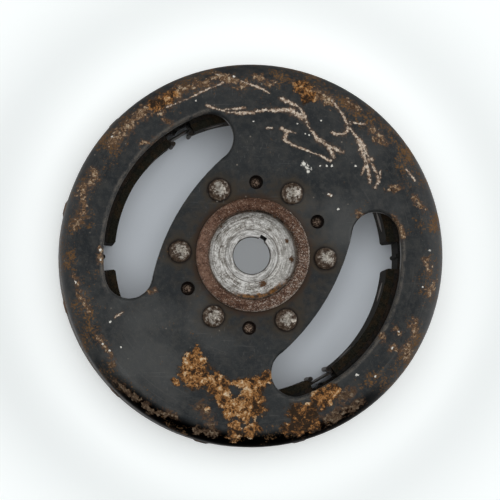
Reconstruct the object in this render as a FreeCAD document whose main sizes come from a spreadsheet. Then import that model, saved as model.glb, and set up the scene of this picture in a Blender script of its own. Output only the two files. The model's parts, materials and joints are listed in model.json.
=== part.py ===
"""Magneto flywheel of a small engine, as a parametric FreeCAD document.

A pressed steel bowl with two kidney windows is riveted to a machined hub.
The hub has a puller thread in its collar, a tapered crank bore with a keyway
and a contact-breaker cam on its inner boss. Six arc magnets with steel pole
shoes are riveted round the inside of the rim, with aluminium spacers between
them and spring clips in four of the six gaps.

The origin is on the crank axis in the plane of the open rim. +Z points out
of the closed face, and one window lies on each side of the 150 degree line.
Lengths are millimetres and angles are degrees.
"""

import FreeCAD
import Part

import math
import os
from functools import partial

import Sketcher

OUT = "parts"
TOLERANCE = 1e-6

# alias, value, meaning
DIMENSIONS = [
    ("rim_radius", 57.5, "outer radius of the rim"),
    ("shell_height", 34.0, "open rim to closed face"),
    ("face_thickness", 4.0, "plate thickness of the closed face"),
    ("wall_inner", 52.0, "inner radius of the rim wall"),
    ("shoulder_outer", 6.0, "outer rounding between face and wall"),
    ("shoulder_inner", 3.0, "inner rounding between face and wall"),
    ("rim_chamfer", 0.8, "chamfer at the open edge"),
    ("collar_hole", 17.05, "radius of the hole for the hub collar"),
    ("window_outer", 44.6, "radius of the window's outer edge"),
    ("window_arc", 67.1, "radius of the window's inner edge"),
    ("window_arc_offset", 41.4, "how far that arc's centre lies beyond the crank axis"),
    ("window_end", 7.16, "radius of the window's ends"),
    ("window_end_angle", 39.5, "direction of an end's centre from the window's middle"),
    ("window_roll", 1.2, "rolled edge along the window's outer arc and ends"),
    ("window_angle", 150.0, "direction of the first window"),
    ("window_count", 2, "windows in the face"),
    ("rivet_circle", 21.85, "radius of the hub rivet circle"),
    ("rivet_count", 6, "hub rivets"),
    ("rivet_shank", 2.0, "radius of a hub rivet's shank"),
    ("rivet_head", 3.3, "radius of a hub rivet's domed head"),
    ("rivet_head_height", 2.2, "height of that head"),
    ("rivet_dome", 1.9, "rounding of that head"),
    ("rivet_tail", 3.2, "radius of the formed tail"),
    ("rivet_tail_height", 1.4, "height of the formed tail"),
    ("rivet_tail_round", 1.1, "rounding of the formed tail"),
    ("rivet_play", 0.05, "radial clearance round a rivet"),
    ("tool_hole", 2.1, "radius of the four tool holes"),
    ("tool_hole_depth", 0.9, "depth of their drill points in the hub flange"),
    ("hub_turn", -2.2, "angle of the first hub rivet"),
    ("flange_radius", 25.3, "radius of the hub flange"),
    ("flange_thickness", 4.5, "thickness of the hub flange"),
    ("flange_chamfer", 0.6, "chamfer of the flange's rim"),
    ("collar_radius", 17.0, "radius of the hub collar"),
    ("collar_rise", 2.0, "collar above the face"),
    ("collar_chamfer", 0.5, "chamfers of the collar"),
    ("thread_radius", 13.5, "major radius of the puller thread"),
    ("thread_relief", 14.0, "radius of the run-out groove under the thread"),
    ("relief_height", 1.2, "height of that groove"),
    ("recess_depth", 7.3, "collar top to the nut seat"),
    ("seat_radius", 7.8, "outer radius of the nut seat"),
    ("seat_rise", 0.15, "nut seat above the recess floor"),
    ("bore_small", 5.5, "bore radius at the nut seat"),
    ("bore_land", 2.5, "length of the parallel part of the bore"),
    ("bore_taper", 0.1, "growth of the bore radius per unit of length"),
    ("bore_chamfer", 0.4, "chamfer at the bore's mouth"),
    ("key_width", 2.1, "width of the keyway"),
    ("key_depth", 1.4, "depth of the keyway in the bore wall"),
    ("key_angle", 57.1, "direction of the keyway"),
    ("boss_radius", 12.0, "radius of the inner boss"),
    ("boss_bottom", 6.0, "open rim to the end of the boss"),
    ("boss_chamfer", 1.0, "chamfer at the end of the boss"),
    ("cam_bottom", 7.6, "open rim to the cam"),
    ("cam_height", 12.0, "height of the cam"),
    ("cam_radius", 14.5, "radius of the cam's round part"),
    ("cam_flat", 13.3, "distance of the cam's relieved part from the axis"),
    ("cam_seat", 11.0, "radius of the cam's seat on the boss"),
    ("cam_chamfer", 0.5, "chamfer of the cam's edges"),
    ("cam_angle", 12.0, "direction of the relieved part"),
    ("magnet_turn", 0.8, "turn of the magnet ring in the rim"),
    ("pole_count", 6, "magnets, pole shoes and spacers"),
    ("pole_bottom", 2.0, "open rim to the magnets"),
    ("pole_height", 24.0, "height of the magnets and pole shoes"),
    ("magnet_inner", 43.5, "inner radius of the magnets"),
    ("pole_inner", 41.0, "inner radius of the pole shoes"),
    ("gap_width", 7.8, "gap between neighbouring pole shoes"),
    ("joint_play", 0.05, "play between parts that are laid together"),
    ("pole_chamfer", 0.5, "chamfer at the pole shoes' ends"),
    ("spacer_height", 22.0, "height of the spacers"),
    ("spacer_inner", 44.4, "inner radius of the spacers"),
    ("spacer_bead", 0.7, "radius of the bead along a spacer"),
    ("bead_sink", 0.07, "depth of the bead's centre in the spacer"),
    ("clip_strip", 0.5, "thickness of the clip's strip"),
    ("clip_height", 20.0, "height of a clip"),
    ("clip_lip", 0.7, "radius of the clip's rolled lip"),
    ("clip_play", 0.1, "play between a clip and the pole shoes"),
    ("pin_radius", 1.75, "radius of a pole rivet's shank"),
    ("pin_head", 3.2, "radius of its countersunk head"),
    ("pin_sink", 1.5, "depth of that head"),
    ("pin_level", 14.0, "open rim to the pole rivets"),
    ("pin_angle", 15.0, "angle of a pole rivet from the middle of its shoe"),
    ("pin_count", 12, "pole rivets"),
    ("pin_tail", 2.7, "radius of the tail peened over on the rim"),
    ("pin_proud", 0.45, "how far that tail stands proud of the rim"),
    ("pin_tail_slope", 1.1, "width of the slope round that tail"),
    ("cut_margin", 0.5, "how far a cutting shape runs past the metal"),
]

CLIP_GAPS = (1, 2, 4, 5)
TOOL_HOLE_ANGLES = (30.0, 90.0, 210.0, 270.0)
FULL_TURN = 360.0
AXIS_LENGTH = 1.0
UPWARD = FreeCAD.Vector(0, 0, 1)
SIDEWAYS = FreeCAD.Vector(0, 1, 0)
NO_TURN = FreeCAD.Placement(FreeCAD.Vector(), FreeCAD.Rotation(UPWARD, 0))

doc = FreeCAD.newDocument("Flywheel")
sheet = doc.addObject("Spreadsheet::Sheet", "Dimensions")
sub_parts = []


def fill_sheet():
    """Writes each driving dimension to a row of the sheet and names its cell."""
    for row, (alias, value, meaning) in enumerate(DIMENSIONS, start=1):
        sheet.set(f"A{row}", meaning)
        sheet.set(f"B{row}", str(value))
        sheet.setAlias(f"B{row}", alias)
    doc.recompute()


def size(alias):
    """The value of a driving dimension."""
    return float(sheet.get(alias))


def cell(text):
    """An expression whose words are cells of the sheet, written with a $ before each."""
    return text.replace("$", "Dimensions.")


def new_body(label, turn="0"):
    """A body that is turned about the crank axis, and becomes a sub-part."""
    body = doc.addObject("PartDesign::Body", label)
    body.Label = label
    body.Placement = NO_TURN
    body.setExpression("Placement.Rotation.Angle", cell(f"({turn}) * 1 deg"))
    sub_parts.append(body)
    return body


def origin_part(body, role):
    """A plane or axis of the body's own origin."""
    return next(part for part in body.Origin.OriginFeatures if part.Role == role)


def new_sketch(body, name, role="XZ_Plane"):
    """A sketch on one of the body's origin planes."""
    sketch = body.newObject("Sketcher::SketchObject", name)
    sketch.AttachmentSupport = (origin_part(body, role), "")
    sketch.MapMode = "FlatFace"
    return sketch


def turn_sketch(sketch, angle):
    """Turns a sketch about the crank axis."""
    sketch.AttachmentOffset = NO_TURN
    sketch.setExpression("AttachmentOffset.Rotation.Angle", cell(f"{angle} * 1 deg"))


def pin_point(sketch, geometry, end, across, along):
    """Holds a point of the sketch at two expressions. "0" puts it on the axis."""
    for kind, text, axis in (("DistanceX", across, -2), ("DistanceY", along, -1)):
        if text == "0":
            sketch.addConstraint(Sketcher.Constraint("PointOnObject", geometry, end, axis))
            continue
        index = sketch.addConstraint(Sketcher.Constraint(kind, -1, 1, geometry, end, 1.0))
        sketch.setExpression(f"Constraints[{index}]", cell(text))


def polygon(sketch, corners):
    """A closed outline through corners that are given as pairs of expressions."""
    count = len(corners)
    for index in range(count):
        start = FreeCAD.Vector(index + 1.0, 0.5 * index * index + 1.0, 0)
        end = FreeCAD.Vector(index + 2.0, 0.5 * (index + 1) * (index + 1) + 1.0, 0)
        sketch.addGeometry(Part.LineSegment(start, end), False)
    for index in range(count):
        sketch.addConstraint(Sketcher.Constraint("Coincident", index, 2, (index + 1) % count, 1))
    for index, (across, along) in enumerate(corners):
        pin_point(sketch, index, 1, across, along)


def revolve(body, sketch, name, angle="360"):
    """Turns an outline about the crank axis, half of the angle to each side of its plane."""
    feature = body.newObject("PartDesign::Revolution", name)
    feature.Profile = sketch
    feature.ReferenceAxis = (origin_part(body, "Z_Axis"), [""])
    feature.Midplane = True
    feature.setExpression("Angle", cell(angle))
    return feature


def turn_on_own_axis(body, sketch, name, kind):
    """Turns an outline about the line through its first corner, "Vertical" or "Horizontal"."""
    line = sketch.addGeometry(Part.LineSegment(FreeCAD.Vector(1, 2, 0), FreeCAD.Vector(2, 3, 0)), True)
    sketch.addConstraint(Sketcher.Constraint(kind, line))
    sketch.addConstraint(Sketcher.Constraint("Coincident", line, 1, 0, 1))
    index = sketch.addConstraint(Sketcher.Constraint("Distance", line, AXIS_LENGTH))
    sketch.renameConstraint(index, "axis_length")
    feature = body.newObject("PartDesign::Revolution", name)
    feature.Profile = sketch
    feature.ReferenceAxis = (sketch, ["Axis0"])
    feature.Angle = FULL_TURN
    doc.recompute()


def pattern(body, feature, name, count):
    """Repeats a feature round the crank axis."""
    polar = body.newObject("PartDesign::PolarPattern", name)
    polar.Originals = [feature]
    polar.Axis = (origin_part(body, "Z_Axis"), [""])
    polar.Angle = FULL_TURN
    polar.setExpression("Occurrences", cell(count))
    body.Tip = polar
    doc.recompute()
    return polar


def radial_cut(body, kind, name, angle, start, level, sizes):
    """A cylinder or cone cut along a radius of the wheel, from a start radius outwards."""
    cut = body.newObject(kind, name)
    cut.AttachmentSupport = (origin_part(body, "XY_Plane"), "")
    cut.MapMode = "FlatFace"
    outwards = FreeCAD.Rotation(UPWARD, angle) * FreeCAD.Rotation(SIDEWAYS, 90)
    cut.AttachmentOffset = FreeCAD.Placement(FreeCAD.Vector(), outwards)
    direction = outwards.multVec(UPWARD)
    cut.setExpression("AttachmentOffset.Base.x", cell(f"({start}) * {direction.x}"))
    cut.setExpression("AttachmentOffset.Base.y", cell(f"({start}) * {direction.y}"))
    cut.setExpression("AttachmentOffset.Base.z", cell(level))
    for prop, text in sizes.items():
        cut.setExpression(prop, cell(text))
    doc.recompute()
    return cut


def edges_where(feature, test):
    """Names of the feature's edges that pass a test."""
    return [f"Edge{i}" for i, edge in enumerate(feature.Shape.Edges, start=1) if test(edge)]


def round_off(body, kind, name, test, prop, text):
    """Fillets or chamfers the edges of the body's last feature that pass a test."""
    base = body.Tip
    feature = body.newObject(kind, name)
    feature.Base = (base, edges_where(base, test))
    feature.setExpression(prop, cell(text))
    doc.recompute()
    return feature


def is_circle(edge, radius, level):
    """True for an arc or circle in a level plane, with that radius and height."""
    curve = edge.Curve
    if not isinstance(curve, Part.Circle):
        return False
    return abs(curve.Radius - radius) < TOLERANCE and abs(curve.Center.z - level) < TOLERANCE


def ring(radius, level):
    """A test for circles about the crank axis with that radius and height."""

    def test(edge):
        if not is_circle(edge, radius, level):
            return False
        return math.hypot(edge.Curve.Center.x, edge.Curve.Center.y) < TOLERANCE

    return test


def is_upright(edge, radius):
    """True for a straight edge parallel to the crank axis at that distance from it."""
    if not isinstance(edge.Curve, Part.Line):
        return False
    low, high = edge.Vertexes[0].Point, edge.Vertexes[-1].Point
    across = math.hypot(high.x - low.x, high.y - low.y)
    return across < TOLERANCE and abs(math.hypot(low.x, low.y) - radius) < TOLERANCE


def rotor_shell():
    """The pressed steel bowl: face, rim, windows and all its holes."""
    body = new_body("rotor_shell")
    outline = new_sketch(body, "ShellOutline")
    polygon(
        outline,
        [
            ("$collar_hole", "$shell_height - $face_thickness"),
            ("$wall_inner", "$shell_height - $face_thickness"),
            ("$wall_inner", "0"),
            ("$rim_radius", "0"),
            ("$rim_radius", "$shell_height"),
            ("$collar_hole", "$shell_height"),
        ],
    )
    revolve(body, outline, "ShellTurned")
    doc.recompute()
    cut_windows(body)
    cut_shell_holes(body)
    top, rim, wall = size("shell_height"), size("rim_radius"), size("wall_inner")
    under = top - size("face_thickness")
    round_off(body, "PartDesign::Fillet", "Shoulder", ring(rim, top), "Radius", "$shoulder_outer")
    round_off(body, "PartDesign::Fillet", "InnerShoulder", ring(wall, under), "Radius", "$shoulder_inner")
    round_off(body, "PartDesign::Chamfer", "OuterRimEdge", ring(rim, 0), "Size", "$rim_chamfer")
    round_off(body, "PartDesign::Chamfer", "InnerRimEdge", ring(wall, 0), "Size", "$rim_chamfer")


def window_outline(body):
    """The kidney outline on the 0 degree line: two long arcs joined by two round ends."""
    sketch = new_sketch(body, "WindowOutline", "XY_Plane")
    turn_sketch(sketch, "$window_angle")
    outer, inner, end = size("window_outer"), size("window_arc"), size("window_end")
    offset = size("window_arc_offset")
    reach = outer - end
    tilt = math.radians(size("window_end_angle"))
    end_x, end_y = reach * math.cos(tilt), reach * math.sin(tilt)
    span = math.hypot(end_x + offset, end_y)
    lean = math.atan2(end_y, end_x + offset)
    swing = math.acos((inner**2 + span**2 - end**2) / (2 * inner * span))
    inner_turn = lean - swing
    meet_x = inner * math.cos(inner_turn) - offset
    meet_y = inner * math.sin(inner_turn)
    meet = math.atan2(meet_y - end_y, meet_x - end_x)
    outer_circle = Part.Circle(FreeCAD.Vector(), UPWARD, outer)
    inner_circle = Part.Circle(FreeCAD.Vector(-offset, 0, 0), UPWARD, inner)
    high_circle = Part.Circle(FreeCAD.Vector(end_x, end_y, 0), UPWARD, end)
    low_circle = Part.Circle(FreeCAD.Vector(end_x, -end_y, 0), UPWARD, end)
    full = 2 * math.pi
    end_height = "($window_outer - $window_end) * sin($window_end_angle * 1 deg)"
    sketch.addGeometry(Part.ArcOfCircle(outer_circle, -tilt, tilt), False)
    sketch.addGeometry(Part.ArcOfCircle(high_circle, tilt, meet % full), False)
    sketch.addGeometry(Part.ArcOfCircle(inner_circle, -inner_turn, inner_turn), False)
    sketch.addGeometry(Part.ArcOfCircle(low_circle, -meet % full, full - tilt), False)
    for constraint in (
        Sketcher.Constraint("Tangent", 0, 2, 1, 1),
        Sketcher.Constraint("Tangent", 3, 2, 0, 1),
        Sketcher.Constraint("Coincident", 1, 2, 2, 2),
        Sketcher.Constraint("Coincident", 3, 1, 2, 1),
        Sketcher.Constraint("Coincident", 0, 3, -1, 1),
        Sketcher.Constraint("PointOnObject", 2, 3, -1),
        Sketcher.Constraint("Equal", 1, 3),
    ):
        sketch.addConstraint(constraint)
    for constraint, text in (
        (Sketcher.Constraint("Radius", 0, outer), "$window_outer"),
        (Sketcher.Constraint("Radius", 2, inner), "$window_arc"),
        (Sketcher.Constraint("DistanceX", 2, 3, -1, 1, offset), "$window_arc_offset"),
        (Sketcher.Constraint("Radius", 1, end), "$window_end"),
        (Sketcher.Constraint("DistanceY", -1, 1, 1, 3, end_y), end_height),
        (Sketcher.Constraint("DistanceY", 3, 3, -1, 1, end_y), end_height),
    ):
        index = sketch.addConstraint(constraint)
        sketch.setExpression(f"Constraints[{index}]", cell(text))
    return sketch


def cut_windows(body):
    """Cuts both windows and rolls the edge over along their outer arcs and ends."""
    pocket = body.newObject("PartDesign::Pocket", "Window")
    pocket.Profile = window_outline(body)
    pocket.Type = "Length"
    pocket.Reversed = True
    pocket.setExpression("Length", cell("$shell_height + $cut_margin"))
    doc.recompute()
    pattern(body, pocket, "Windows", "$window_count")
    outer_arc = ring(size("window_outer"), size("shell_height"))
    round_off(body, "PartDesign::Fillet", "WindowEdges", outer_arc, "Radius", "$window_roll")


def cut_shell_holes(body):
    """Cuts the rivet and tool holes in the face and the pole rivet holes in the rim."""
    drill = new_sketch(body, "FaceHoles", "XY_Plane")
    turn_sketch(drill, "$hub_turn")
    step = FULL_TURN / size("rivet_count")
    for index in range(int(size("rivet_count"))):
        polar_circle(drill, index * step, "$rivet_shank + $rivet_play")
    for angle in TOOL_HOLE_ANGLES:
        polar_circle(drill, angle, "$tool_hole")
    pocket = body.newObject("PartDesign::Pocket", "FaceDrilled")
    pocket.Profile = drill
    pocket.Type = "Length"
    pocket.Reversed = True
    pocket.setExpression("Length", cell("$shell_height + $cut_margin"))
    doc.recompute()
    hole = radial_cut(
        body,
        "PartDesign::SubtractiveCylinder",
        "RimHole",
        size("magnet_turn") + size("pin_angle"),
        "$wall_inner - $cut_margin",
        "$pin_level",
        {"Radius": "$pin_radius + $joint_play", "Height": "$rim_radius - $wall_inner + 2 * $cut_margin"},
    )
    pattern(body, hole, "RimHoles", "$pin_count")


def polar_circle(sketch, angle, radius):
    """A circle of the sketch that lies in that direction on the rivet circle."""
    turn = math.radians(angle)
    along, across = math.cos(turn), math.sin(turn)
    place = FreeCAD.Vector(size("rivet_circle") * along, size("rivet_circle") * across, 0)
    circle = sketch.addGeometry(Part.Circle(place, UPWARD, 1.0), False)
    index = sketch.addConstraint(Sketcher.Constraint("Radius", circle, 1.0))
    sketch.setExpression(f"Constraints[{index}]", cell(radius))
    for kind, share, axis in (("DistanceX", along, -2), ("DistanceY", across, -1)):
        if abs(share) < TOLERANCE:
            sketch.addConstraint(Sketcher.Constraint("PointOnObject", circle, 3, axis))
            continue
        ends = (-1, 1, circle, 3) if share > 0 else (circle, 3, -1, 1)
        index = sketch.addConstraint(Sketcher.Constraint(kind, *ends, abs(share)))
        sketch.setExpression(f"Constraints[{index}]", cell(f"$rivet_circle * {abs(share)}"))


def hub():
    """The machined hub: collar, puller recess, flange, boss, tapered bore and keyway."""
    body = new_body("hub", "$hub_turn")
    seat = "$shell_height + $collar_rise - $recess_depth"
    land = f"{seat} - $bore_land"
    large = f"$bore_small + $bore_taper * ({land} - $boss_bottom)"
    shelf = "$shell_height - $face_thickness"
    outline = new_sketch(body, "HubOutline")
    polygon(
        outline,
        [
            ("$thread_radius", "$shell_height + $collar_rise"),
            ("$collar_radius", "$shell_height + $collar_rise"),
            ("$collar_radius", shelf),
            ("$flange_radius", shelf),
            ("$flange_radius", f"{shelf} - $flange_thickness"),
            ("$boss_radius", f"{shelf} - $flange_thickness"),
            ("$boss_radius", "$cam_bottom + $cam_height"),
            ("$cam_seat", "$cam_bottom + $cam_height"),
            ("$cam_seat", "$boss_bottom"),
            (large, "$boss_bottom"),
            ("$bore_small", land),
            ("$bore_small", f"{seat} - $bore_chamfer"),
            ("$bore_small + $bore_chamfer", seat),
            ("$seat_radius", seat),
            ("$seat_radius", f"{seat} - $seat_rise"),
            ("$thread_relief", f"{seat} - $seat_rise"),
            ("$thread_relief", f"{seat} + $relief_height"),
            ("$thread_radius", f"{seat} + $relief_height"),
        ],
    )
    revolve(body, outline, "HubTurned")
    doc.recompute()
    drill_flange(body)
    cut_keyway(body)
    top = size("shell_height") + size("collar_rise")
    under = size("shell_height") - size("face_thickness") - size("flange_thickness")
    collar, thread, flange = size("collar_radius"), size("thread_radius"), size("flange_radius")
    boss_edge = ring(size("cam_seat"), size("boss_bottom"))
    round_off(body, "PartDesign::Chamfer", "CollarEdge", ring(collar, top), "Size", "$collar_chamfer")
    round_off(body, "PartDesign::Chamfer", "ThreadEdge", ring(thread, top), "Size", "$collar_chamfer")
    round_off(body, "PartDesign::Chamfer", "FlangeEdge", ring(flange, under), "Size", "$flange_chamfer")
    round_off(body, "PartDesign::Chamfer", "BossEdge", boss_edge, "Size", "$boss_chamfer")


def drill_flange(body):
    """Drills the rivet holes through the flange and spots the four tool holes."""
    drill = new_sketch(body, "FlangeHoles", "XY_Plane")
    step = FULL_TURN / size("rivet_count")
    for index in range(int(size("rivet_count"))):
        polar_circle(drill, index * step, "$rivet_shank + $rivet_play")
    pocket = body.newObject("PartDesign::Pocket", "FlangeDrilled")
    pocket.Profile = drill
    pocket.Type = "Length"
    pocket.Reversed = True
    pocket.setExpression("Length", cell("$shell_height + $cut_margin"))
    doc.recompute()
    point = "$shell_height - $face_thickness - $tool_hole_depth"
    for index, angle in enumerate(TOOL_HOLE_ANGLES, start=1):
        turn = math.radians(angle)
        spot = body.newObject("PartDesign::SubtractiveCone", f"DrillPoint{index}")
        spot.AttachmentSupport = (origin_part(body, "XY_Plane"), "")
        spot.MapMode = "FlatFace"
        spot.setExpression("AttachmentOffset.Base.x", cell(f"$rivet_circle * {math.cos(turn)}"))
        spot.setExpression("AttachmentOffset.Base.y", cell(f"$rivet_circle * {math.sin(turn)}"))
        spot.setExpression("AttachmentOffset.Base.z", cell(point))
        spot.Radius1 = 0
        spot.setExpression("Radius2", cell("$tool_hole * (1 + $cut_margin / $tool_hole_depth)"))
        spot.setExpression("Height", cell("$tool_hole_depth + $cut_margin"))
        doc.recompute()


def cut_keyway(body):
    """Cuts the keyway parallel to the axis, so that it runs out in the widening bore."""
    key = body.newObject("PartDesign::SubtractiveBox", "Keyway")
    key.AttachmentSupport = (origin_part(body, "XY_Plane"), "")
    key.MapMode = "FlatFace"
    turn = FreeCAD.Rotation(UPWARD, size("key_angle") - size("hub_turn"))
    corner = turn.multVec(FreeCAD.Vector(0, -size("key_width") / 2, 0))
    key.AttachmentOffset = FreeCAD.Placement(corner, turn)
    key.setExpression("Length", cell("$bore_small + $key_depth"))
    key.setExpression("Width", cell("$key_width"))
    key.setExpression("Height", cell("$shell_height + $collar_rise - $recess_depth + $cut_margin"))
    doc.recompute()


def breaker_cam():
    """The hardened cam ring that is pressed on the hub's boss."""
    body = new_body("breaker_cam", "$cam_angle")
    outline = new_sketch(body, "CamOutline")
    polygon(
        outline,
        [
            ("$cam_seat", "$cam_bottom"),
            ("$cam_radius", "$cam_bottom"),
            ("$cam_radius", "$cam_bottom + $cam_height"),
            ("$cam_seat", "$cam_bottom + $cam_height"),
        ],
    )
    revolve(body, outline, "CamTurned")
    doc.recompute()
    relief = body.newObject("PartDesign::SubtractiveBox", "CamRelief")
    relief.AttachmentSupport = (origin_part(body, "XY_Plane"), "")
    relief.MapMode = "FlatFace"
    relief.setExpression("AttachmentOffset.Base.x", cell("$cam_flat"))
    relief.setExpression("AttachmentOffset.Base.y", cell("-$cam_radius"))
    relief.setExpression("Length", cell("$cam_radius"))
    relief.setExpression("Width", cell("2 * $cam_radius"))
    relief.setExpression("Height", cell("$shell_height"))
    doc.recompute()
    levels = (size("cam_bottom"), size("cam_bottom") + size("cam_height"))

    def on_rim(edge):
        points = [vertex.Point for vertex in edge.Vertexes]
        flat = any(all(abs(point.z - level) < TOLERANCE for point in points) for level in levels)
        return flat and all(math.hypot(point.x, point.y) > size("cam_seat") + TOLERANCE for point in points)

    round_off(body, "PartDesign::Chamfer", "CamEdges", on_rim, "Size", "$cam_chamfer")


def hub_rivets():
    """Six domed rivets that hold the hub flange to the face."""
    body = new_body("hub_rivets", "$hub_turn")
    under = "$shell_height - $face_thickness - $flange_thickness"
    outline = new_sketch(body, "RivetOutline")
    polygon(
        outline,
        [
            ("$rivet_circle", f"{under} - $rivet_tail_height"),
            ("$rivet_circle + $rivet_tail", f"{under} - $rivet_tail_height"),
            ("$rivet_circle + $rivet_tail", under),
            ("$rivet_circle + $rivet_shank", under),
            ("$rivet_circle + $rivet_shank", "$shell_height"),
            ("$rivet_circle + $rivet_head", "$shell_height"),
            ("$rivet_circle + $rivet_head", "$shell_height + $rivet_head_height"),
            ("$rivet_circle", "$shell_height + $rivet_head_height"),
        ],
    )
    turn_on_own_axis(body, outline, "RivetTurned", "Vertical")
    pattern(body, body.Tip, "Rivets", "$rivet_count")
    top = size("shell_height") + size("rivet_head_height")
    flange_under = size("shell_height") - size("face_thickness") - size("flange_thickness")
    tail = flange_under - size("rivet_tail_height")
    head_edge = partial(is_circle, radius=size("rivet_head"), level=top)
    tail_edge = partial(is_circle, radius=size("rivet_tail"), level=tail)
    round_off(body, "PartDesign::Fillet", "Domes", head_edge, "Radius", "$rivet_dome")
    round_off(body, "PartDesign::Fillet", "Tails", tail_edge, "Radius", "$rivet_tail_round")


def arc_segment(label, turn, radii, height, span):
    """A body that is a sector of a ring, centred on its own X axis."""
    body = new_body(label, turn)
    outline = new_sketch(body, f"{label}_outline")
    inner, outer = radii
    bottom, top = "$pole_bottom", f"$pole_bottom + {height}"
    polygon(outline, [(inner, bottom), (outer, bottom), (outer, top), (inner, top)])
    revolve(body, outline, f"{label}_sector", angle=span)
    doc.recompute()
    return body


def pole_turn(index):
    """The direction of a pole shoe's middle."""
    return f"$magnet_turn + {index} * 360 / $pole_count + 180 / $pole_count"


def gap_span(play):
    """The angle of the gap between pole shoes, with a play taken off each side."""
    return f"2 * asin(($gap_width / 2 - {play}) / $pole_inner) / 1 deg"


def pole_span():
    """The angle that a magnet and its pole shoe take up."""
    return f"360 / $pole_count - ({gap_span('0')})"


def magnet(index):
    """One arc magnet, with holes for the two rivets of its pole shoe."""
    label = f"magnet_{index + 1}"
    outer = "$wall_inner - $joint_play"
    body = arc_segment(label, pole_turn(index), ("$magnet_inner", outer), "$pole_height", pole_span())
    for side in (-1, 1):
        radial_cut(
            body,
            "PartDesign::SubtractiveCylinder",
            f"{label}_hole_{side + 2}",
            side * size("pin_angle"),
            "$magnet_inner - $cut_margin",
            "$pin_level",
            {
                "Radius": "$pin_radius + $joint_play",
                "Height": "$wall_inner - $magnet_inner + 2 * $cut_margin",
            },
        )


def pole_shoe(index):
    """One steel pole shoe, countersunk for its two rivets."""
    label = f"pole_shoe_{index + 1}"
    outer = "$magnet_inner - $joint_play"
    body = arc_segment(label, pole_turn(index), ("$pole_inner", outer), "$pole_height", pole_span())
    end = partial(is_upright, radius=size("pole_inner"))
    sink_mouth = "$pin_head + $cut_margin * ($pin_head - $pin_radius) / $pin_sink"
    round_off(body, "PartDesign::Chamfer", f"{label}_ends", end, "Size", "$pole_chamfer")
    for side in (-1, 1):
        radial_cut(
            body,
            "PartDesign::SubtractiveCylinder",
            f"{label}_hole_{side + 2}",
            side * size("pin_angle"),
            "$pole_inner - $cut_margin",
            "$pin_level",
            {
                "Radius": "$pin_radius + $joint_play",
                "Height": "$magnet_inner - $pole_inner + 2 * $cut_margin",
            },
        )
        radial_cut(
            body,
            "PartDesign::SubtractiveCone",
            f"{label}_sink_{side + 2}",
            side * size("pin_angle"),
            "$pole_inner - $cut_margin",
            "$pin_level",
            {
                "Radius1": f"{sink_mouth} + $joint_play",
                "Radius2": "$pin_radius + $joint_play",
                "Height": "$pin_sink + $cut_margin",
            },
        )


def spacer(index):
    """One aluminium block between two magnets, with a bead along its inner face."""
    label = f"spacer_{index + 1}"
    turn = f"$magnet_turn + {index} * 360 / $pole_count"
    radii = ("$spacer_inner", "$wall_inner - $joint_play")
    body = arc_segment(label, turn, radii, "$spacer_height", gap_span("$joint_play"))
    bead = body.newObject("PartDesign::AdditiveCylinder", f"{label}_bead")
    bead.AttachmentSupport = (origin_part(body, "XY_Plane"), "")
    bead.MapMode = "FlatFace"
    bead.setExpression("AttachmentOffset.Base.x", cell("$spacer_inner + $bead_sink"))
    bead.setExpression("AttachmentOffset.Base.z", cell("$pole_bottom"))
    bead.setExpression("Radius", cell("$spacer_bead"))
    bead.setExpression("Height", cell("$spacer_height"))
    doc.recompute()


def primitive(kind, name, sizes, place):
    """A Part primitive whose sizes and place are bound to the sheet."""
    solid = doc.addObject(kind, name)
    for prop, text in sizes.items():
        solid.setExpression(prop, cell(text))
    for axis, text in zip("xyz", place):
        solid.setExpression(f"Placement.Base.{axis}", cell(text))
    return solid


def pole_clip(number, gap):
    """One spring clip: an arm along each pole shoe's end, joined by a foot, each with a rolled lip."""
    label = f"pole_clip_{number}"
    half = "($gap_width / 2 - $clip_play)"
    foot_end = "($magnet_inner - $spacer_bead - $clip_play)"
    low = "$pole_bottom + ($pole_height - $clip_height) / 2"
    foot = primitive(
        "Part::Box",
        f"{label}_foot",
        {"Length": "$clip_strip", "Width": f"2 * {half}", "Height": "$clip_height"},
        (f"{foot_end} - $clip_strip", f"-{half}", low),
    )
    pieces = [foot]
    for side, arm_y, roll_y in (
        ("left", f"-{half}", f"-({half} - $clip_lip)"),
        ("right", f"{half} - $clip_strip", f"{half} - $clip_lip"),
    ):
        arm = primitive(
            "Part::Box",
            f"{label}_{side}_arm",
            {"Length": f"{foot_end} - $pole_inner", "Width": "$clip_strip", "Height": "$clip_height"},
            ("$pole_inner", arm_y, low),
        )
        lip = primitive(
            "Part::Cylinder",
            f"{label}_{side}_lip",
            {"Radius": "$clip_lip", "Height": "$clip_height"},
            ("$pole_inner", roll_y, low),
        )
        pieces.extend([arm, lip])
    clip = doc.addObject("Part::MultiFuse", label)
    clip.Label = label
    clip.Shapes = pieces
    clip.Refine = True
    turn = f"($magnet_turn + {gap} * 360 / $pole_count) * 1 deg"
    clip.setExpression("Placement.Rotation.Angle", cell(turn))
    doc.recompute()
    sub_parts.append(clip)


def pole_rivets():
    """Twelve rivets along the wheel's radii, from the pole shoes out through the rim."""
    body = new_body("pole_rivets", "$magnet_turn + $pin_angle")
    head, shank, tail = "$pin_head", "$pin_radius", "$pin_tail"
    outline = new_sketch(body, "PinOutline")
    polygon(
        outline,
        [
            ("$pole_inner", "$pin_level"),
            ("$pole_inner", f"$pin_level + {head}"),
            ("$pole_inner + $pin_sink", f"$pin_level + {shank}"),
            ("$rim_radius", f"$pin_level + {shank}"),
            ("$rim_radius", f"$pin_level + {tail}"),
            ("$rim_radius + $pin_proud", f"$pin_level + {tail} - $pin_tail_slope"),
            ("$rim_radius + $pin_proud", "$pin_level"),
        ],
    )
    turn_on_own_axis(body, outline, "PinTurned", "Horizontal")
    pattern(body, body.Tip, "Pins", "$pin_count")


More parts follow.
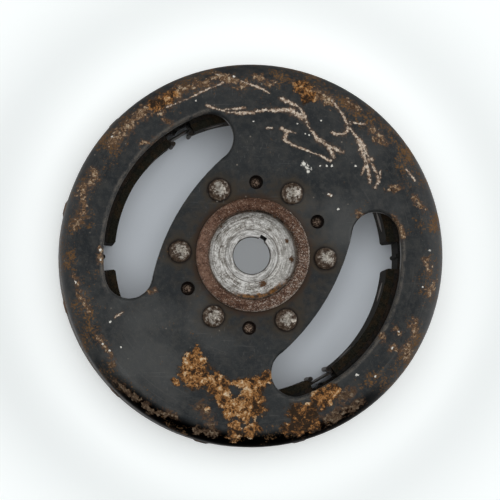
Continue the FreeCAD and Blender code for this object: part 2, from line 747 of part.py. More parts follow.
def check_document():
    """Stops with a message if any object failed or a sub-part isn't made of whole solids."""
    doc.recompute()
    for item in doc.Objects:
        if "Invalid" in item.State or "Error" in item.State:
            raise RuntimeError(f"{item.Label} failed: {item.State}")
    for part in sub_parts:
        if part.Shape.isNull() or not part.Shape.isValid() or not part.Shape.Solids:
            raise RuntimeError(f"{part.Label} is not a valid solid")


def write_steps():
    """Writes one STEP file for each sub-part and prints its volume."""
    os.makedirs(OUT, exist_ok=True)
    for old in os.listdir(OUT):
        os.remove(os.path.join(OUT, old))
    for part in sub_parts:
        part.Shape.exportStep(os.path.join(OUT, f"{part.Label}.step"))
        print(f"{part.Label}: {len(part.Shape.Solids)} solid(s), {part.Shape.Volume:.1f} mm3")


fill_sheet()
rotor_shell()
hub()
breaker_cam()
hub_rivets()
for number in range(int(size("pole_count"))):
    magnet(number)
    pole_shoe(number)
    spacer(number)
for number, gap in enumerate(CLIP_GAPS, start=1):
    pole_clip(number, gap)
pole_rivets()
check_document()
write_steps()
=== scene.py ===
"""Looks of a worn magneto flywheel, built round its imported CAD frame.

The frame's origin is on the crank axis in the plane of the open rim, and +Z
points out of the closed face. Shapes are in metres. The materials, and the
marks that are placed on the face, are in millimetres.
"""

import json
import math

import bmesh
import bpy
from mathutils import Matrix, Vector, noise


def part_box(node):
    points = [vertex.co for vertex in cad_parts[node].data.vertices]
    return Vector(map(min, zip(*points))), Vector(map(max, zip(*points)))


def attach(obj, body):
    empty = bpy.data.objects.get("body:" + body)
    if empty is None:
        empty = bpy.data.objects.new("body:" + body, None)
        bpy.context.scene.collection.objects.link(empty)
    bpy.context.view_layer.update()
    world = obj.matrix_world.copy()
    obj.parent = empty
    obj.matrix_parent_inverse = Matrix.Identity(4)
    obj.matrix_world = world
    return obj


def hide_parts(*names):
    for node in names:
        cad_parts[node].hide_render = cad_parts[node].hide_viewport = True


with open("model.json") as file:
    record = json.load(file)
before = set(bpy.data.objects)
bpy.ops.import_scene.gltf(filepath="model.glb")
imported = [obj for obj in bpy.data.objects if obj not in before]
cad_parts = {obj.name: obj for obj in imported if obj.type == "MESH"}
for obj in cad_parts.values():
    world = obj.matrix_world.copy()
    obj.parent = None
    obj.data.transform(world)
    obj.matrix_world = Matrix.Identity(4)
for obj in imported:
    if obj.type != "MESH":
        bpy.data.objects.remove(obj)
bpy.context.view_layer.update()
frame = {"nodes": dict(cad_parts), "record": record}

MM = 0.001
BODY = "root"

# --- where the CAD says things are ---

MOUNTS = {mount["name"]: mount for mount in frame["record"]["mounts"]}
THREAD = MOUNTS["puller_thread"]
THREAD_RADIUS = THREAD["dims"]["r_mm"] * MM
THREAD_LENGTH = THREAD["dims"]["length_mm"] * MM
THREAD_MIDDLE = THREAD["pos_m"][2]
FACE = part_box("rotor_shell")[1].z
COLLAR_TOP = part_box("hub")[1].z

# The same kind of places, in millimetres, for the materials.
FACE_MM = FACE / MM
COLLAR_MM = COLLAR_TOP / MM
SEAT_MM = MOUNTS["nut_seat"]["pos_m"][2] / MM
CROWN_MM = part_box("hub_rivets")[1].z / MM
THREAD_MM = THREAD["dims"]["r_mm"]
BORE_MM = MOUNTS["crank_bore"]["dims"]["r_mm"]
KEYWAY_MM = BORE_MM + 1.4  # the keyway's floor
WINDOW_EDGE_MM = 44.6  # the windows' outer arc
WINDOW_ANGLE = 150.0  # degrees, through both windows' middles
TOOL_HOLE_TURNS = (30, 90, 210, 270)  # degrees on from a rivet

# --- shapes made here, in metres ---

THREAD_PITCH = 1.0 * MM
THREAD_DEPTH = 0.55 * MM
THREAD_CREST = 0.15 * MM
THREAD_ROOT = 0.82 * MM
THREAD_STEPS = 96  # in one turn
THREAD_TAPER = 24  # steps in which an end grows to its full depth
THREAD_SHORT = 1.2  # turns fewer than the hole has room for
THREAD_SUNK = 0.03 * MM
SHANK_RADIUS = 2.0 * MM
TAIL_HEIGHT = 1.4 * MM
TAIL_ROUND = 1.1 * MM
HEAD_EDGE = 0.12 * MM
CROWN_DENT = 0.12 * MM
HEAD_STEPS = 18
RIVET_SIDES = 48
ON_AXIS = 1e-7

# --- light ---

# Lamps, in watts.
OVERHEAD_POWER = 20.0
KEY_POWER = 0.9
# How much the table glows: beside the wheel, further off, in the corners, under the bore.
NEAR_GLOW = 0.37
FAR_GLOW = 0.17
CORNER_GLOW = 0.13
BORE_GLOW = 0.11
# The room's strength, and how much of it comes from above and from each side.
ROOM_STRENGTH = 0.50
CEILING_SHARE = 0.22
FRONT_SHARE = 0.05
BACK_SHARE = 0.20
RIGHT_SHARE = 1.55
LEFT_SHARE = 1.20

# --- camera ---

# Where it is and what it looks at, from the middle of the collar's top.
EYE = (-84 * MM, -55 * MM, 1500 * MM)
AIM = (-0.93 * MM, 1.4 * MM, 0.0)
ROLL_DEGREES = 0.5
LENS = 362.5
SENSOR = 36.0

# --- colours ---

DARK_RUST = (0.026, 0.015, 0.008)
BROWN_RUST = (0.105, 0.047, 0.017)
ORANGE_RUST = (0.265, 0.110, 0.030)
OCHRE_RUST = (0.37, 0.198, 0.076)
CREAM = (0.62, 0.47, 0.31)
RUST_STAIN = (0.075, 0.040, 0.022)
SHADED_RUST = (0.030, 0.019, 0.012)

PAINT_BLACK = (0.012, 0.0145, 0.0165)
PAINT_GREY = (0.024, 0.026, 0.027)
PAINT_WORN = (0.040, 0.039, 0.036)
PAINT_CLOUDY = (0.046, 0.047, 0.045)
PAINT_STREAK = (0.062, 0.060, 0.056)
# The near-black of the painted dark reflection on the -Y shoulder.
REFLECTION_BLACK = (0.002, 0.002, 0.002)
FINE_DUST = (0.120, 0.105, 0.088)
DUST_PATCH = (0.105, 0.105, 0.100)
PALE_DOT = (0.22, 0.19, 0.155)
HAIRLINE = (0.085, 0.083, 0.078)
GREASE = (0.035, 0.028, 0.021)
HUB_SEAM = (0.034, 0.019, 0.011)
RIVET_STAIN = (0.040, 0.029, 0.017)
# Painted shadow round the rivet heads and where they meet the face.
RIVET_SHADOW = (0.012, 0.008, 0.006)
# A painted highlight along the windows' rolled edges, from dark to pale.
ROLL_HIGHLIGHT_DARK = (0.04, 0.035, 0.028)
ROLL_HIGHLIGHT_PALE = (0.115, 0.102, 0.088)
SCRATCH_EDGE = (0.075, 0.045, 0.028)
BARE_FLECK = (0.70, 0.67, 0.60)

# Painted light on the right of the recess.
RIGHT_SIDE_LIGHT = (1.0, 0.96, 0.90)
SPOKE_WHITE = (1.0, 0.97, 0.93)
STEEL_STAIN = (0.10, 0.06, 0.035)
WASHER_DARK = (0.38, 0.365, 0.34)
WASHER_PALE = (0.92, 0.90, 0.87)
# A thin dark ring round the nut seat.
SEAT_RING_DARK = (0.12, 0.10, 0.08)
POOL_DARK = (0.035, 0.014, 0.006)
POOL_ORANGE = (0.34, 0.155, 0.045)
# Brown rust and painted shade at the recess floor's edge.
EDGE_DIRT_AND_SHADE = (0.13, 0.085, 0.055)
COLLAR_FADED = (0.215, 0.125, 0.088)
COLLAR_BARE = (0.54, 0.47, 0.40)
# Painted shade in the tool holes.
TOOL_HOLE_SHADE = (0.014, 0.009, 0.007)
PIT_BROWN = (0.030, 0.015, 0.010)
PIT_PALE = (0.42, 0.30, 0.22)
# Painted shade at the bore's edge.
BORE_EDGE_SHADE = (0.020, 0.018, 0.015)
# Painted shade inside the keyway.
KEYWAY_SHADE = (0.004, 0.004, 0.003)


# --- shader helpers ---


class Shader:
    """One procedural material, built from short calls that return sockets."""

    def __init__(self, name):
        self.material = bpy.data.materials.new(name)
        self.material.use_nodes = True
        self.tree = self.material.node_tree
        self.tree.nodes.clear()
        output = self.node("OutputMaterial")
        self.bsdf = self.node("BsdfPrincipled")
        self.link(self.bsdf.outputs["BSDF"], output.inputs["Surface"])
        coordinates = self.node("TexCoord")
        self.place = self.vector("SCALE", coordinates.outputs["Object"], scale=1 / MM)
        split = self.node("SeparateXYZ", self.place)
        self.across, self.along, self.height = split.outputs
        self.flat = self.combined(self.across, self.along)
        self.radius = self.vector("LENGTH", self.flat)

    def node(self, kind, *values):
        """A new node, with its first inputs set to some values."""
        node = self.tree.nodes.new("ShaderNode" + kind)
        for socket, value in zip(node.inputs, values):
            if value is not None:
                self.put(socket, value)
        return node

    def link(self, source, target):
        """Connects two sockets."""
        self.tree.links.new(source, target)

    def put(self, socket, value):
        """Sets an input to a number or a colour, or links it to a socket."""
        if isinstance(value, bpy.types.NodeSocket):
            self.link(value, socket)
        elif isinstance(value, tuple) and len(value) == 3 and socket.type == "RGBA":
            socket.default_value = (*value, 1)
        else:
            socket.default_value = value

    def math(self, operation, first, second=None, third=None):
        """A Math node's result."""
        node = self.node("Math", first, second, third)
        node.operation = operation
        return node.outputs[0]

    def scaled(self, value, factor, plus=0.0):
        """A value times a factor, plus another value."""
        return self.math("MULTIPLY_ADD", value, factor, plus)

    def both(self, *masks):
        """Where all of some masks hold: their product."""
        total = masks[0]
        for mask in masks[1:]:
            total = self.math("MULTIPLY", total, mask)
        return total

    def either(self, *masks):
        """Where any of some masks holds: the highest of them."""
        total = masks[0]
        for mask in masks[1:]:
            total = self.math("MAXIMUM", total, mask)
        return total

    def vector(self, operation, first, second=None, third=None, scale=None):
        """A Vector Math node's result: its number where it gives one, or else its vector."""
        node = self.node("VectorMath", first, second, third)
        node.operation = operation
        if scale is not None:
            self.put(node.inputs["Scale"], scale)
        number = operation in ("LENGTH", "DISTANCE", "DOT_PRODUCT")
        return node.outputs["Value" if number else "Vector"]

    def combined(self, x=0.0, y=0.0, z=0.0):
        """A vector from three numbers."""
        return self.node("CombineXYZ", x, y, z).outputs[0]

    def noise(self, scale, detail=4, rough=0.5, warp=0.0, place=None, shift=0.0):
        """Fractal noise from 0 to 1, with its scale in waves per millimetre."""
        node = self.node("TexNoise")
        node.inputs["Scale"].default_value = scale
        node.inputs["Detail"].default_value = detail
        node.inputs["Roughness"].default_value = rough
        node.inputs["Distortion"].default_value = warp
        moved = self.vector("ADD", place or self.place, (shift, 1.7 * shift, -0.6 * shift))
        self.link(moved, node.inputs["Vector"])
        return node.outputs["Fac"]

    def round_the_axis(self, turning, outward=0.0, radius=None):
        """A place for noise that changes slowly round the axis and quickly outwards."""
        around = self.vector("SCALE", self.vector("NORMALIZE", self.flat), scale=turning)
        if not outward:
            return around
        out = self.combined(z=radius or self.radius)
        return self.vector("MULTIPLY_ADD", out, (0, 0, outward), around)

    def cells(self, scale, feature="F1", place=None):
        """Distance in a Voronoi pattern."""
        node = self.node("TexVoronoi")
        node.feature = feature
        node.inputs["Scale"].default_value = scale
        self.link(place or self.place, node.inputs["Vector"])
        return node.outputs["Distance"]

    def step(self, value, low, high, bottom=0.0, top=1.0):
        """A smooth step: bottom below low, top above high. Low above high turns it round."""
        node = self.node("MapRange", value, low, high, bottom, top)
        node.interpolation_type = "SMOOTHSTEP"
        node.clamp = False
        return node.outputs[0]

    def beyond(self, low, high, bottom=0.0, top=1.0):
        """A smooth step with the distance from the axis."""
        return self.step(self.radius, low, high, bottom, top)

    def above(self, low, high, bottom=0.0, top=1.0):
        """A smooth step with the height."""
        return self.step(self.height, low, high, bottom, top)

    def mix(self, share, first, second):
        """Two colours mixed."""
        node = self.node("Mix", share)
        node.data_type = "RGBA"
        self.put(node.inputs[6], first)
        self.put(node.inputs[7], second)
        return node.outputs[2]

    def blend(self, share, first, second):
        """Two numbers mixed."""
        return self.node("Mix", share, None, first, second).outputs[0]

    def ramp(self, value, *stops):
        """A colour ramp. Each stop is a place and a colour."""
        node = self.node("ValToRGB", value)
        elements = node.color_ramp.elements
        while len(elements) < len(stops):
            elements.new(0.5)
        for element, (place, colour) in zip(elements, stops):
            element.position = place
            element.color = (*colour, 1)
        return node.outputs[0]

    def bump(self, depth_mm, strength, value, after=None):
        """A bump of that depth, on top of another one."""
        node = self.node("Bump")
        node.inputs["Distance"].default_value = depth_mm * MM
        self.put(node.inputs["Strength"], strength)
        self.put(node.inputs["Height"], value)
        if after is not None:
            self.link(after, node.inputs["Normal"])
        return node.outputs[0]

    def spots(self, place, marks):
        """How deep a point lies in any of some round marks: 1 at a centre, 0 at an edge."""
        total = None
        for x, y, radius in marks:
            far = self.vector("DISTANCE", place, (x, y, 0))
            total = self.deepest(total, self.scaled(far, -1 / radius, 1.0))
        return total

    def strokes(self, place, lines):
        """How deep a point lies in any of some strokes: 1 on the line, 0 at half its width."""
        total = None
        for width, *points in lines:
            for start, end in zip(points, points[1:]):
                begin, finish = Vector((*start, 0)), Vector((*end, 0))
                run = finish - begin
                offset = self.vector("SUBTRACT", place, tuple(begin))
                share = self.vector("DOT_PRODUCT", offset, tuple(run / run.length_squared))
                share = self.math("MINIMUM", self.math("MAXIMUM", share, 0.0), 1.0)
                nearest = self.vector("SCALE", tuple(run), scale=share)
                far = self.vector("DISTANCE", offset, nearest)
                total = self.deepest(total, self.scaled(far, -2 / width, 1.0))
        return total

    def deepest(self, total, depth):
        """The deeper of a running total, which may be empty, and one more mark.

        The marks are taken in one by one, since Cycles can't hold them all at once.
        """
        return depth if total is None else self.either(total, depth)

    def finish(self, colour, roughness, metallic, normal=None):
        """Joins the results to the shader."""
        self.put(self.bsdf.inputs["Base Color"], colour)
        self.put(self.bsdf.inputs["Roughness"], roughness)
        self.put(self.bsdf.inputs["Metallic"], metallic)
        if normal is not None:
            self.link(normal, self.bsdf.inputs["Normal"])
        return self.material


# --- wear on the face, in millimetres from the crank axis ---

# Thick crusts of rust. Each is x, y, radius.
CRUST = (
    (-16.5, -29, 1.2), (-18, -31.5, 2.1), (-16, -32, 1.8), (-18.5, -35, 2.7), (-15.5, -35.5, 2.7),
    (-17.5, -37.5, 2.4), (-14, -38, 1.5), (-19.5, -36.5, 1.5), (-12, -38, 1.8), (-10.5, -37.5, 1.8),
    (-10.5, -40, 2.4), (-8.5, -39, 1.8), (-9, -42, 2.1), (-7.5, -44, 2.1), (-4.5, -45.5, 2.7),
    (-1.5, -46.5, 3.0), (1.5, -45.5, 2.4), (-6.5, -47, 1.8), (1, -43, 2.4), (0.5, -40.5, 2.4),
    (-0.5, -42.5, 1.8), (1.5, -38.5, 1.8), (-1.5, -38.5, 1.5), (-4, -38.5, 1.2), (3.5, -37.5, 1.8),
    (5.5, -36, 1.3), (-5, -51.5, 1.8), (-5, -54, 1.8), (-0.5, -52.5, 1.8), (1, -51.5, 1.5),
    (13.5, -47, 2.4), (15.5, -49, 3.0), (17.5, -46.5, 2.4), (18, -50.5, 2.4), (14, -51.5, 2.4),
    (11.5, -52, 1.8), (20, -42, 2.1), (22, -42, 2.4), (24.5, -40.5, 1.8), (21, -43.5, 1.8),
    (19, -40, 1.2), (-13, -46, 0.7), (13.5, 51, 1.5), (15, 50, 1.9), (16.5, 48, 1.8),
    (15.5, 46.5, 1.2), (-30, 44.5, 1.6), (-27.5, 45.5, 1.5), (-25.5, 47, 1.6), (-24, 48, 1.2),
    (-22.5, -38, 0.9),
)

# Thin scattered rust. Each is a width, and the points that the smear runs through.
SMEARS = (
    (4.4, (-42.5, 33.5), (-37, 39), (-33.5, 42), (-30, 44), (-25.5, 46.5), (-22, 49)),
    (3.2, (-22, 49), (-16, 51), (-11.5, 53.5), (-6.5, 52), (-2.5, 51)),
    (3.0, (-48, 24.5), (-47, 22), (-51.5, 19), (-50.5, 15), (-52, 9.5), (-53.5, 8)),
    (2.2, (-28, 41.5), (-25.5, 39)),
    (2.4, (-33.5, 33), (-30, 33.5)),
    (2.6, (0.5, 53.5), (4.5, 51.5)),
    (3.0, (12.5, 51.5), (21, 47.5), (23.5, 46)),
    (2.6, (28.5, 46), (31, 44)),
    (3.0, (36, 37.5), (39.5, 34)),
    (2.4, (40.5, 20), (44, 21)),
    (2.6, (48, 18), (51, 15)),
    (2.8, (31.5, 12.5), (33, 10)),
    (2.4, (42, 11), (44, 8.5), (45, 6)),
    (2.4, (52, -1), (53, -4)),
    (2.4, (55, -7.5), (53, -11)),
    (2.4, (48.5, -19.5), (48.5, -24)),
    (2.4, (43, -21), (44, -23)),
    (2.8, (42, -27.5), (44, -28.5)),
    (2.8, (47, -26), (47, -30.5)),
    (2.2, (38.5, -24), (39.5, -25)),
    (3.4, (32.5, -43.5), (29.5, -46)),
    (3.0, (30.5, -40.5), (26.5, -42)),
    (4.4, (28.5, -46), (23, -49)),
    (2.4, (-46, -25), (-42.5, -29.5), (-41.5, -33.5)),
    (1.8, (-41, -37.5), (-34.5, -43.5)),
    (2.2, (-33, -44), (-30, -47), (-26.5, -47.5), (-22.5, -48.5)),
    (2.6, (-16.5, -52.5), (-10.5, -53.5)),
    (2.2, (-52, -12.5), (-48.5, -17)),
    (2.0, (-53.5, -6.5), (-52.5, -9)),
    (2.0, (-45.5, 1), (-45.5, -2.5)),
    (1.8, (-32, -11), (-29.5, -11)),
    (3.6, (-15, -45.5), (-12.5, -48.5), (-11.5, -52)),
)

# Scratches to the primer, listed as the smears are.
SCRATCHES = (
    (1.2, (8, 47), (10.5, 46), (13.5, 44.5), (15, 42.5), (16, 39.5), (18, 36.5), (19.5, 34.5)),
    (1.7, (19.5, 34.5), (22, 33), (24.5, 32), (26.5, 31)),
    (1.9, (22.5, 32.5), (24, 30)),
    (1.2, (0.5, 43), (3.5, 43.5), (7.5, 43.5), (11, 43.5)),
    (2.1, (11, 43.5), (12, 43), (14.5, 41.5)),
    (1.0, (-14, 44.5), (-7.5, 42.5), (0, 42.5)),
    (0.8, (-8.5, 43.5), (-2.5, 44)),
    (1.1, (8.5, 38), (10, 37), (9, 34.5), (12, 33)),
    (0.8, (12, 33), (16, 31.5), (20, 30), (23, 28.5)),
    (0.8, (10, 37.5), (12.5, 36.5)),
    (1.1, (23.5, 46.5), (25, 44.5), (27, 42), (27.5, 40.5), (29, 38), (31.5, 35)),
    (1.5, (31.5, 35), (33, 33), (34, 30.5), (35.5, 29)),
    (2.0, (28, 39.5), (28.5, 38), (27, 36.5)),
    (1.1, (27, 36.5), (24.5, 36.5), (23.5, 37)),
    (1.7, (31.5, 34), (33, 30.5), (34, 28)),
    (1.2, (34, 28), (34.5, 25.5), (35, 22)),
    (1.0, (33.5, 30.5), (33.5, 27), (32.5, 24.5)),
    (1.1, (34.5, 29), (37, 25), (37.5, 22.5), (36.5, 20.5)),
    (0.8, (38, 25.5), (38, 23.5)),
    (0.8, (30, 40), (33.5, 39.5)),
    (0.8, (4, 38), (5.5, 38)),
    (0.7, (46, 26), (48.5, 23)),
    (0.9, (-4, 52), (-1, 51), (2, 50), (4.5, 48.5)),
    (0.8, (-26, 44), (-20, 46.5), (-18, 47.5), (-9.5, 51.5)),
    (0.9, (-41, -19), (-38.5, -17.5)),
    (0.7, (22.5, 18.5), (23.5, 18)),
)

# Bare flecks, nearly white. Each is x, y, radius.
FLECKS = (
    (15, 27.5, 1.2), (16, 26.5, 1.2), (16.5, 25, 0.9), (17.5, 26, 0.6), (22.5, 18.5, 0.5),
    (23.5, 18, 0.5), (25.5, 14, 0.6), (13, 39.5, 0.6), (20, 40.5, 0.5), (15.5, 36.5, 0.4),
    (16.5, 36, 0.4), (20, 27, 0.5), (22, 27, 0.5), (23.5, 27, 0.5), (30.5, 27, 0.5),
    (0, 40, 0.5), (5, 38, 0.4), (-6, 53.5, 0.5), (-11, 54, 0.5), (-42.5, 35, 0.6),
    (-45.5, 1, 0.6), (-45.5, -2, 0.5), (-53, -8.5, 0.6), (-42.5, -20.5, 0.6), (-44.5, -27, 0.6),
    (-42.5, -29, 0.6), (31.5, -35.5, 0.8), (37, -36, 0.6), (44, -22.5, 0.5), (51, -9, 0.5),
    (53, 2, 0.5), (-17.5, 46, 0.4), (-39, -28, 0.4), (42, 10.5, 0.6), (42, -27.5, 0.6),
)

# Broad patches of dust. Each is x, y, radius.
DUSTY = (
    (28, 13, 22),
    (-34, -28, 24),
)

# Brown deposits on the recess floor. Each is x, y, radius.
DEPOSITS = (
    (3.5, -8.5, 1.5),
    (12, -1, 1.1),
    (10.5, 4.5, 0.8),
    (11, -7, 1.0),
    (-9.5, 9, 0.8),
    (6.5, -10.5, 0.9),
)


# --- materials ---


def rivet_circles(radius):
    """A circle of that radius round each hub rivet: x, y, radius."""
    centres = [(low + high) / 2 / MM for low, high in loose_parts("hub_rivets")]
    return [(centre.x, centre.y, radius) for centre in centres]


def tool_holes(radius=2.1):
    """The tool holes that lie between hub rivets: x, y, radius."""
    x, y, _ = max(rivet_circles(radius))
    reach = math.hypot(x, y)
    turns = [math.atan2(y, x) + math.radians(degrees) for degrees in TOOL_HOLE_TURNS]
    return [(reach * math.cos(turn), reach * math.sin(turn), radius) for turn in turns]


class ShellPaint(Shader):
    """Satin black paint over steel: scratched and chipped to rust and primer."""

    def __init__(self):
        super().__init__("shell_paint")
        self.broad = self.noise(0.06, 4, 0.55, shift=3)
        self.middle = self.noise(0.45, 5, 0.6, shift=11)
        self.fine = self.noise(2.6, 4, 0.6, shift=19)
        # The face with its places pushed about, a lot for rust and a little for scratches.
        waves = [self.noise(0.45, 5, 0.75, shift=shift) for shift in (41, 67)]
        warp = self.combined(*[self.scaled(wave, 4.4, -2.2) for wave in waves])
        self.wobbled = self.vector("ADD", self.flat, warp)
        self.nudged = self.vector("MULTIPLY_ADD", warp, (0.24, 0.24, 0), self.flat)
        self.on_top = self.above(FACE_MM - 9.0, FACE_MM - 4.0)
        self.low_side = self.scaled(self.across, 0.05, self.along)

    def mottled_paint(self):
        """Black paint, mottled, with fine dust and with streaks left by turning."""
        colour = self.ramp(self.broad, (0.35, PAINT_BLACK), (0.65, PAINT_GREY))
        colour = self.mix(self.step(self.middle, 0.42, 0.70, 0.0, 0.7), colour, PAINT_WORN)
        clouds = self.noise(0.9, 5, 0.7, shift=43)
        colour = self.mix(self.step(clouds, 0.48, 0.70, 0.0, 0.5), colour, PAINT_CLOUDY)
        dust = self.noise(3.4, 3, 0.7, shift=59)
        colour = self.mix(self.step(dust, 0.60, 0.74, 0.0, 0.7), colour, FINE_DUST)
        streaks = self.noise(1.0, 4, 0.7, place=self.round_the_axis(3.0, 2.2))
        streaks = self.both(self.step(streaks, 0.56, 0.70, 0.0, 0.5), self.beyond(22.0, 34.0))
        return self.mix(streaks, colour, PAINT_STREAK)

    def hub_grime_and_rivet_shadows(self, colour):
        """Brown grease and rust near the hub and under its rivets' heads, and a painted shadow ring
        round each head.
        """
        near_hub = self.both(self.beyond(28.0, 17.5), self.step(self.middle, 0.35, 0.62))
        colour = self.mix(near_hub, colour, GREASE)
        seam = self.both(self.beyond(19.2, 17.4), self.step(self.middle, 0.30, 0.50, 0.4, 1.0))
        colour = self.mix(seam, colour, HUB_SEAM)
        under_head = self.spots(self.nudged, rivet_circles(5.6))
        stain = self.scaled(self.middle, 0.9, under_head)
        colour = self.mix(self.step(stain, 0.20, 1.0, 0.0, 0.8), colour, RIVET_STAIN)
        # A painted shadow ring round each rivet's head.
        return self.mix(self.step(under_head, 0.26, 0.40), colour, RIVET_SHADOW)

    def lightly_marked(self, colour):
        """Pale dots, hairline scratches in two directions and broad patches of dust."""
        dots = self.step(self.middle, 0.46, 0.54, 0.0, 0.7)
        dots = self.both(self.step(self.cells(0.26), 0.085, 0.045), dots)
        colour = self.mix(dots, colour, PALE_DOT)
        for stretch, shift in (((0.10, 2.6, 0), 101), ((1.9, 0.5, 0), 131)):
            place = self.vector("MULTIPLY", self.flat, stretch)
            hairs = self.step(self.noise(1.0, 2, 0.5, place=place, shift=shift), 0.66, 0.72)
            hairs = self.both(hairs, self.step(self.broad, 0.42, 0.60, 0.0, 0.45))
            colour = self.mix(hairs, colour, HAIRLINE)
        dusty = self.scaled(self.broad, 2.4, self.spots(self.flat, DUSTY))
        return self.mix(self.step(dusty, 1.1, 2.2, 0.0, 0.34), colour, DUST_PATCH)

    def window_edge_highlight(self, colour):
        """The rolled edge along each window's outer arc, with a painted highlight in paler grey."""
        turn = math.radians(WINDOW_ANGLE)
        aim = self.vector("DOT_PRODUCT", self.flat, (math.cos(turn), math.sin(turn), 0))
        aim = self.math("DIVIDE", self.math("ABSOLUTE", aim), self.radius)
        # A painted highlight along the rolled edge, broken up by noise.
        roll_highlight = self.both(
            self.beyond(WINDOW_EDGE_MM - 0.3, WINDOW_EDGE_MM + 0.2),
            self.beyond(WINDOW_EDGE_MM + 1.6, WINDOW_EDGE_MM + 0.9),
            self.step(aim, 0.68, 0.76),
            self.above(FACE_MM - 2.5, FACE_MM - 1.5),
            self.step(self.scaled(self.fine, 0.6, self.middle), 0.66, 0.90),
        )
        return self.mix(roll_highlight, colour, self.mix(self.fine, ROLL_HIGHLIGHT_DARK, ROLL_HIGHLIGHT_PALE))

    def painted_dark_reflection(self):
        """Where a painted dark reflection lies: round the shoulder on the -Y side."""
        shoulder = self.both(self.beyond(52.2, 55.0), self.above(20.0, 25.0))
        return self.both(self.step(self.low_side, -33.0, -46.0), shoulder)

    def crusts(self):
        """Thick rust, and the dark edge round it."""
        grit = self.scaled(self.noise(0.75, 5, 0.72, shift=5), 3.0, -1.42)
        depth = self.math("ADD", self.spots(self.wobbled, CRUST), grit)
        crust = self.both(self.step(depth, -0.12, 0.02), self.on_top)
        return crust, self.both(self.step(depth, -0.55, -0.12, 0.0, 0.7), self.on_top)

    def smears(self):
        """Thin scattered rust, and the stain round it."""
        grains = self.scaled(self.noise(0.95, 3, 0.62, warp=0.4, shift=57), 4.2, -3.75)
        spray = self.scaled(self.noise(0.30, 2, 0.60, warp=0.8, shift=53), 2.6, grains)
        depth = self.math("ADD", self.strokes(self.wobbled, SMEARS), spray)
        smear = self.both(self.step(depth, 0.10, 0.45), self.on_top)
        return smear, self.both(self.step(depth, -0.55, 0.15, 0.0, 0.75), self.on_top)

    def specks(self):
        """Specks of rust along the shoulder and the rim, where paint rubs off first."""
        shoulder = self.beyond(46.0, 54.0)
        zones = self.scaled(self.noise(0.13, 3, 0.6, shift=83), 0.8, self.noise(1.5, 5, 0.75, shift=13))
        dark_side = self.step(self.along, -30.0, -52.0, 0.0, 0.10)
        level = self.scaled(shoulder, 0.17, self.math("SUBTRACT", zones, dark_side))
        specks = self.step(level, 1.11, 1.19)
        loose = self.step(self.noise(1.1, 4, 0.75, shift=97), 0.71, 0.76)
        loose = self.both(loose, self.beyond(22.0, 36.0), 0.7)
        specks = self.either(specks, loose)
        rim_wear = self.both(self.above(2.2, 0.4), self.step(self.middle, 0.35, 0.60))
        return self.either(specks, rim_wear)

    def scratches(self):
        """Scratches through to primer, the thin brown edge round them, and bare flecks."""
        broken = self.scaled(self.noise(1.4, 6, 0.8, shift=29), 4.6, -2.80)
        fading = self.scaled(self.noise(0.22, 3, 0.6, shift=37), 2.6, -1.15)
        uneven = self.math("ADD", broken, fading)
        depth = self.math("ADD", self.strokes(self.nudged, SCRATCHES), uneven)
        scratch = self.both(self.step(depth, 0.0, 0.45), self.on_top)
        edge = self.both(self.step(depth, -0.8, 0.0, 0.0, 0.75), self.on_top)
        fleck = self.scaled(broken, 0.80, self.spots(self.nudged, FLECKS))
        return scratch, edge, self.both(self.step(fleck, 0.02, 0.25), self.on_top)

    def crust_colour(self):
        """Flaking rust from near-black brown to cream, cracked along thin dark veins."""
        # The patch at the lower right is darker than the others.
        darker = self.step(self.along, -43.0, -46.0, 0.0, -0.17)
        darker = self.both(self.step(self.across, 6.0, 12.0), darker)
        coarse = self.noise(0.30, 4, 0.6, warp=0.5, shift=31)
        flakes = self.noise(0.50, 7, 0.70, warp=0.9, shift=7)
        value = self.scaled(coarse, 0.9, self.scaled(flakes, 1.75, -0.79))
        value = self.math("ADD", value, darker)
        veins = self.cells(0.75, "DISTANCE_TO_EDGE", self.wobbled)
        value = self.math("ADD", value, self.step(veins, 0.0, 0.17, -0.15, 0.02))
        return self.ramp(
            value,
            (0.30, DARK_RUST),
            (0.40, BROWN_RUST),
            (0.50, ORANGE_RUST),
            (0.62, OCHRE_RUST),
            (0.80, CREAM),
        )

    def smear_colour(self):
        """Thin rust from dark brown to cream, dimmer on the -Y side."""
        colour = self.ramp(
            self.noise(0.9, 6, 0.72, warp=0.8, shift=73),
            (0.36, DARK_RUST),
            (0.44, (0.100, 0.055, 0.030)),
            (0.53, (0.220, 0.135, 0.075)),
            (0.63, (0.480, 0.380, 0.265)),
        )
        return self.mix(self.step(self.low_side, -24.0, -40.0, 0.0, 0.60), colour, SHADED_RUST)

    def primer_colour(self):
        """Primer and metal at the bottom of a scratch."""
        return self.ramp(
            self.noise(1.3, 5, 0.7, shift=61),
            (0.38, (0.19, 0.11, 0.067)),
            (0.48, (0.44, 0.335, 0.25)),
            (0.62, (0.72, 0.62, 0.51)),
        )

    def build(self):
        """The whole material, from the paint outwards."""
        colour = self.hub_grime_and_rivet_shadows(self.mottled_paint())
        colour = self.window_edge_highlight(self.lightly_marked(colour))
        dark_reflection = self.painted_dark_reflection()
        # Painted dark reflection: the -Y shoulder is made near-black.
        colour = self.mix(self.scaled(dark_reflection, 0.9), colour, REFLECTION_BLACK)
        crust, crust_edge = self.crusts()
        smear, stain = self.smears()
        specks = self.specks()
        scratch, scratch_edge, fleck = self.scratches()

        colour = self.mix(crust_edge, colour, DARK_RUST)
        speck_colour = self.mix(self.fine, DARK_RUST, self.mix(self.middle, BROWN_RUST, OCHRE_RUST))
        colour = self.mix(specks, colour, speck_colour)
        colour = self.mix(stain, colour, RUST_STAIN)
        colour = self.mix(smear, colour, self.smear_colour())
        colour = self.mix(crust, colour, self.crust_colour())
        colour = self.mix(scratch_edge, colour, SCRATCH_EDGE)
        colour = self.mix(scratch, colour, self.primer_colour())
        colour = self.mix(fleck, colour, BARE_FLECK)

